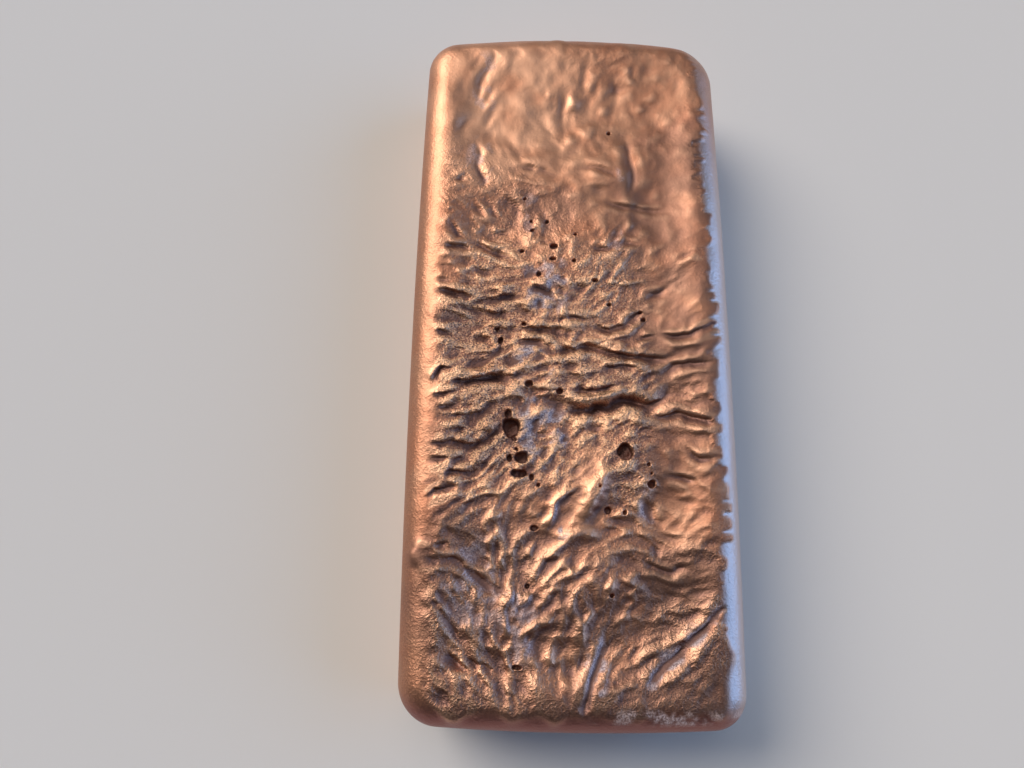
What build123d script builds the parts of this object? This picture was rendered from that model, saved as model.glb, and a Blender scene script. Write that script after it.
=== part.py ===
from build123d import *
import math
import os

# Copper ingot: one piece cast in an open mould and left to set from above.
# Millimetres. X runs across the bar, Y along it, Z up. The origin is the middle of the
# underside, which is the flat face it rests on.

# Driving dimensions
LENGTH = 112.0
WIDTH = 50.0
HEIGHT = 18.0

# Plan outline: sides and ends bow outwards, and each corner has its own radius
SIDE_BOW = 0.7
FAR_END_BOW = 1.8
NEAR_END_BOW = 0.85
NEAR_LEFT_RADIUS = 6.0
NEAR_RIGHT_RADIUS = 5.0
FAR_RIGHT_RADIUS = 8.0
FAR_LEFT_RADIUS = 5.5

# Walls: the draft that lets the bar drop out of its mould, and the rounded edges
DRAFT_ANGLE = 5.0
RIM_RADIUS = 4.2
BASE_EDGE_RADIUS = 2.0

# Pour face: a shallow dish inside a smooth rim, with slow swells in it
RIM_BAND = 5.2
SKIN_DEPTH = 1.2
RISE_BAND = 8.0
SWELL_HEIGHT = 0.26
SWELL_PITCH = 17.0
SWELL_FAN = 0.45
CROSS_SWELL_HEIGHT = 0.14
CROSS_SWELL_PITCH = 24.0
CROSS_SWELL_SLANT = 0.5
SKIN_GRID = 3.8
SKIN_OVERLAP = 3.0

# Folds: creases where the setting skin was pushed together. Each has its width and depth,
# then the points it runs through, in percent of the half width and the half length.
FOLDS = [
    (1.1, 0.45, (-82, -12), (-77, -9), (-66, -8)),
    (1.3, 0.60, (-75, -13), (-56, -11), (-42, -10), (-28, -9)),
    (1.3, 0.55, (-82, -30), (-68, -28), (-53, -28), (-43, -23)),
    (1.2, 0.50, (-82, -35), (-77, -33), (-70, -33)),
    (1.1, 0.45, (-78, -38), (-67, -36), (-55, -37)),
    (1.3, 0.55, (-82, -45), (-77, -42), (-69, -41)),
    (1.2, 0.50, (-82, 13), (-73, 14), (-60, 12)),
    (1.0, 0.40, (-82, 3), (-70, 1), (-50, 1)),
    (1.4, 0.60, (-82, 27), (-72, 28), (-59, 26)),
    (1.1, 0.45, (-64, 30), (-52, 28), (-36, 24)),
    (1.4, 0.60, (-63, 63), (-60, 56), (-58, 50), (-52, 46)),
    (1.8, 0.60, (-75, 64), (-66, 74), (-60, 82), (-54, 90)),
    (2.0, 0.55, (-45, 68), (-40, 61), (-33, 54)),
    (1.7, 0.50, (-40, 54), (-24, 53), (-8, 50)),
    (1.6, 0.50, (4, 55), (16, 53), (29, 50)),
    (1.7, 0.60, (36, 67), (37, 58), (41, 50), (36, 44)),
    (1.4, 0.70, (20, 42), (37, 42), (51, 40), (62, 41)),
    (1.8, 0.55, (10, 88), (8, 82), (9, 75)),
    (1.8, 0.55, (28, 86), (31, 79), (30, 73)),
    (1.3, 0.55, (14, 27), (29, 30), (46, 30)),
    (1.2, 0.50, (-34, 4), (-20, 4), (-3, 2)),
    (1.3, 0.55, (-13, -3), (4, -2), (21, -3), (38, -5), (59, -4)),
    (1.2, 0.50, (50, -9), (66, -6), (82, -5)),
    (1.2, 0.50, (-4, -14), (12, -13), (29, -12)),
    (1.7, 0.80, (-5, -20), (18, -18), (36, -16), (57, -15)),
    (1.2, 0.50, (45, -20), (67, -21), (82, -20)),
    (1.2, 0.45, (56, 2), (72, 2), (82, 5)),
    (1.3, 0.50, (38, -58), (54, -62), (66, -60)),
    (1.8, 0.75, (82, -68), (72, -75), (53, -83), (38, -89)),
    (1.5, 0.80, (22, -77), (14, -85), (8, -91), (3, -98)),
    (1.3, 0.50, (-79, -58), (-62, -62), (-43, -68)),
    (1.2, 0.50, (-71, -71), (-66, -76), (-60, -80)),
    (0.9, 0.50, (-81, -16), (-75, -15), (-69, -14)),
    (1.0, 0.45, (-55, 8), (-48, 8), (-41, 8)),
    (0.9, 0.45, (21, -8), (32, -7), (41, -8)),
    (0.9, 0.45, (15, 4), (24, 3), (38, 9), (45, 9)),
    (0.9, 0.40, (-5, 7), (3, 7), (11, 7)),
    (0.9, 0.40, (47, 14), (54, 15), (61, 16)),
    (1.2, 0.75, (-27, 18), (-20, 16), (-10, 12)),
    (1.0, 0.45, (67, -29), (74, -32), (82, -33)),
    (0.9, 0.40, (55, -37), (64, -37), (73, -38)),
    (0.9, 0.45, (-43, -55), (-43, -58), (-44, -62)),
    (0.8, 0.40, (-32, -66), (-31, -69), (-31, -72)),
    (1.0, 0.50, (-72, -80), (-66, -83), (-57, -87)),
    (0.9, 0.40, (65, 23), (72, 26), (81, 27)),
    (1.1, 0.50, (-79, 36), (-73, 32), (-65, 30)),
    (1.0, 0.40, (-79, 48), (-70, 50), (-65, 50)),
    (1.3, 0.50, (-76, 64), (-73, 67), (-71, 70)),
    (2.2, 0.40, (-21, 69), (-16, 66), (-11, 64)),
    (1.6, 0.45, (0, 79), (-6, 73), (-4, 67)),
    (1.2, 0.35, (42, 90), (41, 87), (41, 84)),
    (1.4, 0.40, (39, 77), (40, 73), (44, 70)),
    (1.1, 0.50, (29, 35), (27, 31), (24, 27)),
    (1.2, 0.45, (41, -43), (43, -46), (46, -50)),
]

# Ridges: lips that stand up beside the folds. Width and height, then the points as above.
RIDGES = [
    (1.9, 0.45, (32, -84), (52, -79), (76, -71)),
    (1.9, 0.45, (42, -91), (64, -83), (80, -75)),
    (2.2, 0.40, (-24, -65), (-10, -55), (17, -50)),
    (3.2, 0.45, (-1, -51), (13, -41), (23, -31)),
    (1.8, 0.40, (-42, -80), (-39, -72), (-36, -65)),
    (2.2, 0.45, (-61, 67), (-52, 76), (-43, 82)),
    (2.2, 0.40, (9, 76), (14, 81), (19, 87)),
    (2.4, 0.40, (46, 71), (53, 77), (51, 84)),
    (2.0, 0.35, (47, 25), (55, 28), (64, 32)),
    (1.3, 0.35, (-50, -49), (-46, -48), (-41, -46)),
    (1.1, 0.35, (-48, -57), (-45, -54), (-42, -51)),
    (1.1, 0.35, (-42, -62), (-40, -58), (-33, -56)),
    (1.1, 0.35, (-32, -60), (-26, -57), (-23, -54)),
    (1.3, 0.40, (-16, -51), (-11, -46), (-4, -42), (5, -39)),
    (1.3, 0.35, (-13, -66), (0, -62), (9, -59)),
    (1.5, 0.45, (-31, -78), (-22, -74), (-7, -72)),
    (1.6, 0.55, (4, -82), (6, -76), (8, -71), (4, -68)),
    (1.3, 0.40, (12, -94), (20, -91), (26, -89)),
    (1.2, 0.35, (-81, -40), (-74, -36), (-69, -33)),
    (1.2, 0.35, (-82, -46), (-76, -43), (-66, -42)),
    (1.1, 0.30, (-58, -27), (-52, -23), (-50, -20)),
    (1.4, 0.40, (-50, 84), (-46, 87), (-40, 91)),
    (1.2, 0.35, (-62, 53), (-58, 56), (-54, 59)),
    (1.6, 0.35, (-81, 46), (-76, 46), (-67, 47)),
    (1.5, 0.40, (11, 63), (14, 67), (18, 69)),
    (1.8, 0.40, (62, 66), (64, 69), (65, 72)),
    (1.4, 0.40, (63, 22), (72, 24), (80, 25)),
]

# How far a fold's or ridge's tapered ends lie clear of the face, and ridges below the rim
TIP_CLEARANCE = 0.15
LIP_CLEARANCE = 0.1

# Gas holes: bubbles that broke through the skin. Across and along as above, then the bore.
# A hole's depth and its floor's width are shares of its bore, and its ragged mouth has
# short straight edges.
GAS_HOLES = [
    (-37, -24, 2.7),
    (-44, 0, 1.0),
    (30, -30, 2.3),
    (-30, -32, 1.9),
    (-37, -33, 1.0),
    (-32, -36, 1.5),
    (46, -39, 1.3),
    (20, -46, 1.1),
    (-26, -12, 1.2),
    (-8, -14, 1.2),
    (-31, 27, 1.0),
    (-12, 25, 1.1),
]
HOLE_DEPTH = 0.6
HOLE_FLOOR = 0.45
HOLE_SIDES = 11


def widest_to_top(radius, angle):
    """How far the unrounded top edge of the drafted wall stands outside the rounded rim."""
    return radius * (math.tan(angle) + 1 / math.cos(angle) - 1)


def outline(grow):
    """Plan outline of the bar, moved outwards by grow: four bowed edges and four corners."""
    half_width = WIDTH / 2 + grow
    half_length = LENGTH / 2 + grow
    corner_x = half_width - SIDE_BOW
    far_y = half_length - FAR_END_BOW
    near_y = NEAR_END_BOW - half_length
    edges = Curve() + [
        ThreePointArc((-corner_x, near_y), (0, -half_length), (corner_x, near_y)),
        ThreePointArc((corner_x, near_y), (half_width, 0), (corner_x, far_y)),
        ThreePointArc((corner_x, far_y), (0, half_length), (-corner_x, far_y)),
        ThreePointArc((-corner_x, far_y), (-half_width, 0), (-corner_x, near_y)),
    ]
    plan = make_face(edges)
    corners = [
        ((-corner_x, near_y), NEAR_LEFT_RADIUS),
        ((corner_x, near_y), NEAR_RIGHT_RADIUS),
        ((corner_x, far_y), FAR_RIGHT_RADIUS),
        ((-corner_x, far_y), FAR_LEFT_RADIUS),
    ]
    for point, radius in corners:
        plan = fillet(plan.vertices().sort_by_distance(point)[0], radius + grow)
    return plan


def cast_blank():
    """The bar as its mould shapes it: drafted walls, rounded rim and rounded base edge."""
    draft = math.radians(DRAFT_ANGLE)
    top_grow = widest_to_top(RIM_RADIUS, draft)
    base_grow = top_grow - HEIGHT * math.tan(draft)
    blank = extrude(outline(base_grow), amount=HEIGHT, taper=-DRAFT_ANGLE)
    blank = fillet(blank.edges().group_by(Axis.Z)[-1], RIM_RADIUS)
    return fillet(blank.edges().group_by(Axis.Z)[0], BASE_EDGE_RADIUS)


def rise(place, half_size):
    """How far the face has climbed, from 0 in the dish to 1 where it meets the rim."""
    to_rim = half_size - RIM_BAND - abs(place)
    return max(0, 1 - to_rim / RISE_BAND) ** 2


def skin_height(x, y):
    """Height of the pour face before its folds: a dish that climbs to the rim, with swells."""
    climb = rise(x, WIDTH / 2) + rise(y, LENGTH / 2)
    # The swells lie straight across the bar at its far end and slant more towards the near end
    from_far_end = 1 / 2 - y / LENGTH
    swell_place = y - SWELL_FAN * from_far_end * x
    swell = SWELL_HEIGHT * math.sin(2 * math.pi * swell_place / SWELL_PITCH)
    cross_place = x - CROSS_SWELL_SLANT * y
    cross = CROSS_SWELL_HEIGHT * math.sin(2 * math.pi * cross_place / CROSS_SWELL_PITCH)
    return HEIGHT - (SKIN_DEPTH + swell + cross) * (1 - climb)


def spaced(half_span):
    """Evenly spaced places from -half_span to half_span, about SKIN_GRID apart."""
    steps = math.ceil(2 * half_span / SKIN_GRID)
    return [half_span * (2 * i / steps - 1) for i in range(steps + 1)]


def above_skin():
    """The space above the pour face, which is taken off the blank."""
    rows = [
        [(x, y, skin_height(x, y)) for x in spaced(WIDTH / 2 + SKIN_OVERLAP)]
        for y in spaced(LENGTH / 2 + SKIN_OVERLAP)
    ]
    skin = Face.make_surface_from_array_of_points(rows)
    return Solid.extrude(skin, Vector(0, 0, HEIGHT))


def on_skin(across, along, ceiling=HEIGHT):
    """A point on the pour face, but no higher than ceiling.

    Across and along are percent of the half width and the half length.
    """
    x = across / 100 * WIDTH / 2
    y = along / 100 * LENGTH / 2
    return Vector(x, y, min(skin_height(x, y), ceiling))


def flat_face(*corners):
    """A flat face through its corners."""
    return Face(Wire.make_polygon(corners, close=True))


def joining_faces(before, after):
    """The six flat faces between two three-cornered sections, two to a side."""
    faces = []
    for i in range(3):
        j = (i + 1) % 3
        faces.append(flat_face(before[i], before[j], after[j]))
        faces.append(flat_face(before[i], after[j], after[i]))
    return faces


def pointed_end(section, tip):
    """The three flat faces that run from a section to a point."""
    return [flat_face(section[i], section[(i + 1) % 3], tip) for i in range(3)]


def crease(width, reach, stations, side):
    """A three-sided body with pointed ends, laid along the pour face through its stations.

    It crosses the face width wide and goes reach past it. Side is -1 for a body that dips
    into the face and 1 for one that stands out of it.
    """
    # A body that stands out of the face stays under the rim
    ceiling = HEIGHT - reach - LIP_CLEARANCE if side > 0 else HEIGHT
    points = [on_skin(*station, ceiling) for station in stations]
    tip_shift = Vector(0, 0, -side * TIP_CLEARANCE)
    sections = []
    for before, point, after in zip(points, points[1:], points[2:]):
        run = after - before
        across = Vector(0, 0, 1).cross(run).normalized()
        up = run.cross(across).normalized()
        feet = point - up * (side * reach)
        crest = point + up * (side * reach)
        sections.append([feet - across * width, feet + across * width, crest])
    faces = pointed_end(sections[0], points[0] + tip_shift)
    for before, after in zip(sections, sections[1:]):
        faces += joining_faces(before, after)
    faces += pointed_end(sections[-1], points[-1] + tip_shift)
    return Solid(Shell(faces))


def gas_hole(across, along, bore):
    """One burst bubble: it narrows from its mouth to a small floor."""
    mouth = on_skin(across, along)
    depth = Vector(0, 0, HOLE_DEPTH * bore)
    floor_radius = HOLE_FLOOR * bore / 2
    # The cutter goes on widening as far above the face as the hole goes below it
    top_radius = bore - floor_radius
    floor = Pos(*(mouth - depth)) * RegularPolygon(floor_radius, HOLE_SIDES)
    top = Pos(*(mouth + depth)) * RegularPolygon(top_radius, HOLE_SIDES)
    return loft([floor, top], ruled=True)


def ingot():
    """The whole casting: blank, pour face, ridges, folds and gas holes."""
    bar = cast_blank() - above_skin()
    bar += [crease(width, reach, stations, 1) for width, reach, *stations in RIDGES]
    bar -= [crease(width, reach, stations, -1) for width, reach, *stations in FOLDS]
    bar -= [gas_hole(across, along, bore) for across, along, bore in GAS_HOLES]
    return bar


os.makedirs("parts", exist_ok=True)
export_step(ingot(), "parts/ingot.step")
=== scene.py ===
import math
import bmesh
import bpy
import numpy as np
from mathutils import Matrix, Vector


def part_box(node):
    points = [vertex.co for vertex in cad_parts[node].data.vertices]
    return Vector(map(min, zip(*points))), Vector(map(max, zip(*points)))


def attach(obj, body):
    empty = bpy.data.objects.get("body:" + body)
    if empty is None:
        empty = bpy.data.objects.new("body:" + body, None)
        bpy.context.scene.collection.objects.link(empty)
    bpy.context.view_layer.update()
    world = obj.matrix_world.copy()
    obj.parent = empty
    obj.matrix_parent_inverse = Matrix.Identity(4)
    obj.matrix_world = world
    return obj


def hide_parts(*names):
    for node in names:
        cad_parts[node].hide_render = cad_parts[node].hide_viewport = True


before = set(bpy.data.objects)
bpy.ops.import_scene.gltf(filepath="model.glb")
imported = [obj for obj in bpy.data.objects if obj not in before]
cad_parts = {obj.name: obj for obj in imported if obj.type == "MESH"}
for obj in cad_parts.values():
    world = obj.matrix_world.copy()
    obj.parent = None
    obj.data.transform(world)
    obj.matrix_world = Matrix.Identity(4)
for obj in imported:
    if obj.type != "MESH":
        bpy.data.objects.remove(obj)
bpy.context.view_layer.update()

# Lengths of the shapes below are in millimetres. X runs across the bar, Y along it and Z up,
# and the bar rests on Z = 0. Blender's own units are metres.
MM = 0.001
IMAGE_WIDTH = 1024

# The bar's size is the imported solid's own
box_low, box_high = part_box("ingot")
LENGTH = (box_high.y - box_low.y) / MM
WIDTH = (box_high.x - box_low.x) / MM
HEIGHT = (box_high.z - box_low.z) / MM

# Plan outline: bowed sides and ends, and a radius for each corner
SIDE_BOW = 0.7
FAR_END_BOW = 1.8
NEAR_END_BOW = 0.85
NEAR_LEFT_RADIUS = 6.0
NEAR_RIGHT_RADIUS = 5.0
FAR_RIGHT_RADIUS = 8.0
FAR_LEFT_RADIUS = 5.5

# Walls and edges
DRAFT = math.radians(5.0)
RIM_RADIUS = 4.2
BASE_EDGE_RADIUS = 2.0

# Pour face: a shallow dish with slow swells in it
RIM_BAND = 5.2
SKIN_DEPTH = 1.2
RISE_BAND = 8.0
SWELL_HEIGHT = 0.26
SWELL_PITCH = 17.0
SWELL_FAN = 0.45
CROSS_SWELL_HEIGHT = 0.14
CROSS_SWELL_PITCH = 24.0
CROSS_SWELL_SLANT = 0.5

# Mesh: the middle of the top is a grid of quads, and rings of quads go on from its edge.
# The rim's inner slope, where the skin ends, has more rings than its outer one.
GRID_INSET = 4.7
CELLS_ACROSS = 150
CELLS_ALONG = 372
FLAT_RINGS = 2
INNER_RIM_TURN = math.radians(42)
INNER_RIM_RINGS = 11
OUTER_RIM_RINGS = 6
WALL_RINGS = 4
FOOT_RINGS = 3
# How far round a gas hole the faces are divided finer, and how many cuts their edges get
HOLE_MARGIN = 0.35
HOLE_CUTS = 2

# Raster that the relief of the pour face is worked out on
PITCH = 0.15
RASTER_MARGIN = 1.5
# Noise with features this long hardly changes across or along the bar
LONG = 50.0

# Which way the folds run, in degrees from +X: place on the face, then the angle there
FOLD_RUNS = [
    (-22, 50, 70), (-14, 48, 70), (-5, 47, 115), (3, 47, 72), (11, 46, 80), (19, 46, 60),
    (-20, 38, 50), (-13, 38, 75), (-7, 36, 125), (1, 40, 80), (9, 36, 88), (16, 37, 62),
    (-20, 27, 10), (-13, 29, 120), (-6, 29, 178), (4, 29, 172), (10, 29, 88), (19, 27, 15),
    (-20, 18, 150), (-13, 17, 165), (-4, 20, 95), (5, 17, 60), (12, 19, 30), (19, 15, 25),
    (-20, 8, 178), (-13, 6, 172), (-4, 8, 150), (4, 5, 20), (11, 3, 25), (19, 4, 18),
    (-20, -5, 25), (-13, -5, 14), (-4, -2, 176), (5, -1, 174), (12, -4, 20), (19, -3, 5),
    (-20, -14, 25), (-13, -15, 38), (-5, -12, 25), (4, -10, 10), (12, -10, 12), (19, -12, 172),
    (-20, -22, 30), (-13, -23, 48), (-5, -24, 55), (4, -20, 48), (11, -20, 168), (19, -20, 165),
    (-20, -32, 165), (-13, -33, 125), (-6, -34, 58), (2, -30, 38), (10, -30, 170), (19, -30, 15),
    (-18, -42, 118), (-11, -42, 92), (-4, -40, 35), (2, -42, 75), (10, -42, 30), (18, -42, 42),
    (-16, -49, 130), (-8, -49, 100), (1, -50, 72), (8, -49, 40), (15, -49, 42), (21, -46, 45),
]
RUN_REACH = 7.0

# Folds: where the setting skin was pushed together and its far side stands over its near side.
# Width, depth, then the points that the fold runs through.
FOLDS = [
    (1.3, 0.75, (-22.8, -8), (-20, -5.2), (-17, -4.8)),
    (1.5, 0.85, (-19.2, -7.1), (-14, -6), (-10.5, -5.6), (-6.8, -5.3)),
    (0.9, 0.5, (-20.5, -8.9), (-17.3, -7.9)),
    (0.8, 0.4, (-19.7, -10.6), (-16.8, -10.2)),
    (0.8, 0.35, (-17.8, -11.9), (-15.6, -11.5)),
    (1.2, 0.6, (-21.2, -16.4), (-17.5, -15.9), (-15, -16.1), (-13.2, -15.2), (-10.8, -12.9)),
    (1.1, 0.6, (-22.7, -19.7), (-20.5, -18.5), (-17.8, -18.5)),
    (0.9, 0.45, (-19.7, -20.9), (-17, -20.3), (-13.8, -20.2)),
    (1.1, 0.6, (-22.2, -25), (-20, -23.3), (-17.3, -22.7)),
    (0.9, 0.7, (-24, -30.4), (-22, -29.3), (-20.1, -29.7)),
    (0.8, 0.4, (-20.2, -30.9), (-17.8, -30.7)),
    (1.2, 0.55, (-21.7, 7.5), (-18, 7.5), (-15.3, 7)),
    (1, 0.45, (-13.7, 4.3), (-10.3, 4.7)),
    (0.9, 0.4, (-22.2, 1.2), (-17.8, 0.8)),
    (1.1, 0.55, (-15.7, 0.7), (-12.3, 0.4)),
    (1.1, 0.5, (-8.7, 2), (-5, 2), (-0.5, 1.4)),
    (1.2, 0.6, (-3.4, -1.6), (0, -1.4), (2.5, -0.9), (5, -1.2), (8, -2.3), (11, -2.8),
     (14.7, -2.4)),
    (0.9, 0.45, (5.3, -4.2), (8, -4), (10.2, -4.5)),
    (1, 0.5, (12.8, -4.7), (16, -3.6), (18, -2.9), (20.6, -2.8)),
    (1.1, 0.55, (-1, -7.8), (2, -7.6), (4, -7.3), (7.2, -6.8)),
    (1.8, 1.05, (-1.4, -10.9), (2, -10.2), (5, -10.2), (7.5, -9), (9, -8.9), (11, -9.6),
     (13, -9), (14.4, -8.3)),
    (1.2, 0.6, (11.2, -11.2), (15, -11.4), (18, -11.9), (20, -12.1), (22.2, -11.1)),
    (0.9, 0.45, (3.8, 2.5), (6, 1.9), (8, 3), (9.5, 4.8), (11.2, 5.1)),
    (0.9, 0.4, (-1.2, 3.8), (2.7, 3.7)),
    (0.8, 0.35, (9.8, 0.5), (13.2, 0.9)),
    (1, 0.5, (13.8, 1.2), (16, 0.9), (18.5, 1.2), (21, 2.4), (23.2, 4)),
    (0.9, 0.4, (11.8, 7.7), (15.2, 9)),
    (1.2, 0.75, (-6.8, 10), (-5, 8.8), (-2.5, 6.5)),
    (1, 0.45, (16.8, -16.3), (18.5, -18), (20.7, -18.5)),
    (0.9, 0.4, (13.8, -20.8), (18.2, -21.1)),
    (0.9, 0.5, (9.8, -32.9), (12, -34), (14, -34.5), (16.2, -33.6)),
    (1, 0.55, (-19.7, -32.9), (-17, -33), (-15, -34.5), (-13, -36), (-9.8, -37.2)),
    (1, 0.5, (-17.6, -40.3), (-16.5, -42.5), (-15.1, -44.7)),
    (1, 0.5, (-17.9, -44.9), (-16.5, -46.5), (-14.3, -48.7)),
    (0.9, 0.45, (-15.4, -45.9), (-13, -47), (-11.6, -48.1)),
    (0.9, 0.45, (-10.7, -30.8), (-11.1, -34.7)),
    (0.8, 0.4, (-8.1, -36.8), (-7.7, -40)),
    (1, 0.5, (4.8, 23.7), (8, 23.6), (10, 23.4), (11.5, 23), (13, 22.6), (15.2, 22.9)),
    (1, 0.5, (3.3, 15.2), (5.8, 16), (7.2, 16.8), (8.5, 17.2), (10, 16.8), (11.2, 17)),
    (0.9, 0.4, (16.3, 12.9), (18, 14.5), (20.2, 15)),
    (1.1, 0.5, (-19.7, 20.2), (-18.7, 18.5), (-17.8, 17.3), (-16.3, 16.7)),
    (1, 0.5, (-21.2, 15.2), (-19.5, 15.1), (-17.5, 15.2), (-15.3, 15)),
    (1.1, 0.5, (-16.2, 16.4), (-13.5, 15.7), (-12, 15), (-10, 14.2), (-8.8, 13.4)),
    (0.9, 0.35, (-12.7, 18.5), (-9.8, 18)),
    (0.9, 0.35, (-13.1, 22.6), (-11.9, 20.9)),
    (1.8, 0.45, (-10.3, 30.1), (-7.5, 29.7), (-5, 29.5), (-2.3, 28.6)),
    (1.3, 0.45, (1.2, 30.4), (3, 30.2), (4.5, 29.8), (7.2, 28.7)),
    (1, 0.4, (-19.7, 26.7), (-17.5, 27.7), (-16.3, 28.1)),
    (0.6, 0.35, (-21.4, 25.7), (-20.8, 24), (-19.9, 23.1)),
    (0.7, 0.3, (-20.4, 21.7), (-18.8, 22.1)),
]

# Troughs: folds with both sides alike, most of them near the ends of the bar
TROUGHS = [
    (1, 0.85, (23, -37.3), (20, -40), (17.5, -42.3), (15, -44.8), (12.5, -47),
     (9.8, -49.5)),
    (1, 0.65, (5.7, -43.5), (4, -45.5), (3.2, -47.5), (2.5, -49), (2, -51), (1.3, -54)),
    (1.2, 0.6, (-15.9, 41.6), (-15.5, 45), (-14.8, 47), (-13.8, 49), (-13, 50.5), (-13.5, 53.5)),
    (1.3, 0.5, (-18.6, 36), (-17.2, 38.8)),
    (1, 0.45, (-14.9, 39.8), (-14, 43), (-13.2, 44.8)),
    (1, 0.4, (-14, 37.2), (-13.1, 40.7)),
    (2.2, 0.5, (-11.2, 36.9), (-10, 34.5), (-8.1, 30.7)),
    (2.2, 0.4, (-5.3, 38.4), (-2.8, 35.7)),
    (1.6, 0.45, (0.1, 44.3), (-1.5, 41), (-0.9, 37.7)),
    (1.5, 0.45, (2.4, 48.3), (2, 46), (2.3, 43.2)),
    (1.5, 0.4, (7.2, 47.3), (7.8, 44), (7.5, 41.7)),
    (1.2, 0.35, (10.5, 50.3), (10.3, 47.2)),
    (1.4, 0.4, (9.7, 43.3), (10, 41), (10.9, 39.2)),
    (1.4, 0.65, (9.1, 36.3), (9.3, 34), (9.4, 32), (10, 30), (10.2, 28), (9.4, 25.7)),
    (1.2, 0.65, (-15.9, 34.8), (-15, 32.3), (-15.6, 30), (-14.5, 28), (-13.4, 26.5)),
    (1.1, 0.5, (7.3, 19.8), (7, 18), (6.5, 17), (5.9, 15.2)),
    (1.2, 0.45, (10.3, -23.8), (10.8, -25.5), (11.6, -27.8)),
    (0.9, 0.35, (11.7, -30.3), (11.9, -33)),
]

# Ridges: skin that stands up in a rib. Width, height and points as above.
RIDGES = [
    (1.6, 0.4, (8.3, -46.6), (10, -45.6), (13, -44.2), (16, -42), (18.7, -40.3)),
    (1.2, 0.3, (16.8, -40), (19.5, -38), (21.2, -37.4)),
    (1.5, 0.35, (10.2, -49.9), (14, -48), (17, -45.5), (19, -43), (21.5, -40.8)),
    (1.3, 0.35, (-12.6, -27.6), (-10.3, -25.9)),
    (1.1, 0.35, (-12.1, -31.7), (-10.4, -28.3)),
    (1.1, 0.35, (-10.6, -34.8), (-10, -32.5), (-8.3, -31.4)),
    (1.1, 0.35, (-8.1, -33.5), (-6.5, -32), (-5.7, -30.2)),
    (1.7, 0.55, (-6, -36.3), (-4.5, -33), (-2.5, -31), (-0.5, -30), (1, -29.3), (4.3, -28.4)),
    (1.3, 0.4, (-4.1, -28.8), (-3, -26.5), (-2.5, -24.5), (-1, -23.3), (1.2, -21.9)),
    (2.7, 0.7, (-0.2, -28.3), (2, -25.5), (3.5, -22.5), (5, -19.8), (5.6, -17.6)),
    (1, 0.3, (-6.6, -39), (-5.9, -36.8)),
    (1, 0.3, (-4.6, -39), (-3.6, -37)),
    (1.3, 0.35, (-3.2, -36.7), (0, -34.5), (2.2, -32.9)),
    (1.5, 0.45, (-7.7, -43.9), (-6.5, -42.3), (-4.5, -41), (-1.8, -40.4)),
    (1, 0.4, (-10.4, -44.5), (-9.7, -41.5), (-10, -39.5), (-9.3, -37.2)),
    (1.6, 0.55, (0.9, -45.8), (1.2, -43), (2.2, -40.2), (1, -38.2)),
    (1.3, 0.4, (2.8, -53.2), (5, -51), (6.5, -49.8)),
    (2.2, 0.3, (-5.3, -46), (-0.7, -46)),
    (1.2, 0.35, (-20.2, -22.2), (-18.5, -20), (-17.3, -18.3)),
    (1.2, 0.35, (-21.7, -25.6), (-19, -24.3), (-16.5, -23.7), (-16.2, -22.6)),
    (1.1, 0.3, (-14.6, -15), (-13, -13), (-12.4, -11.3)),
    (1.5, 0.4, (-15.1, 37.8), (-14, 41), (-12, 43), (-10.9, 45.3)),
    (1.4, 0.4, (-12.4, 47.3), (-11.5, 48.5), (-9.9, 51.3)),
    (1.2, 0.35, (-15.6, 29.8), (-14.5, 31.5), (-13.4, 33.2)),
    (1.6, 0.35, (-21.2, 25.5), (-19, 25.5), (-16.8, 26.6)),
    (1.3, 0.3, (-4.1, 44.3), (-3.4, 42.7)),
    (1.4, 0.35, (0.2, 43.8), (0.7, 40.7)),
    (1.6, 0.45, (2.4, 42.8), (3.5, 45.5), (4.6, 47.8)),
    (1.6, 0.3, (4.9, 42.8), (6.1, 45.2)),
    (1.6, 0.3, (4.9, 39.8), (6.1, 42.2)),
    (1.4, 0.35, (9.5, 45.8), (10.6, 47.2)),
    (2.2, 0.45, (12.3, 44.8), (13.6, 42.2)),
    (1.5, 0.35, (10.9, 40), (12.6, 42)),
    (1.5, 0.4, (2.7, 35.2), (3.5, 37.5), (4.4, 38.8)),
    (1.8, 0.4, (15.5, 37.2), (16.3, 40.3)),
    (1.5, 0.35, (13.6, 34.6), (14.6, 37.2)),
    (1.2, 0.35, (13.8, 24.2), (14.1, 26.8)),
    (1.2, 0.3, (-10.2, 28.6), (-8.3, 27.3)),
    (1.1, 0.3, (8.7, 19.3), (9, 21), (9.6, 21.8)),
    (1.5, 0.35, (11.8, 14.2), (14, 16), (15.7, 17.2)),
    (1.4, 0.4, (15.8, 12.3), (18, 13.5), (20, 14), (22.3, 15)),
]

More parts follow.
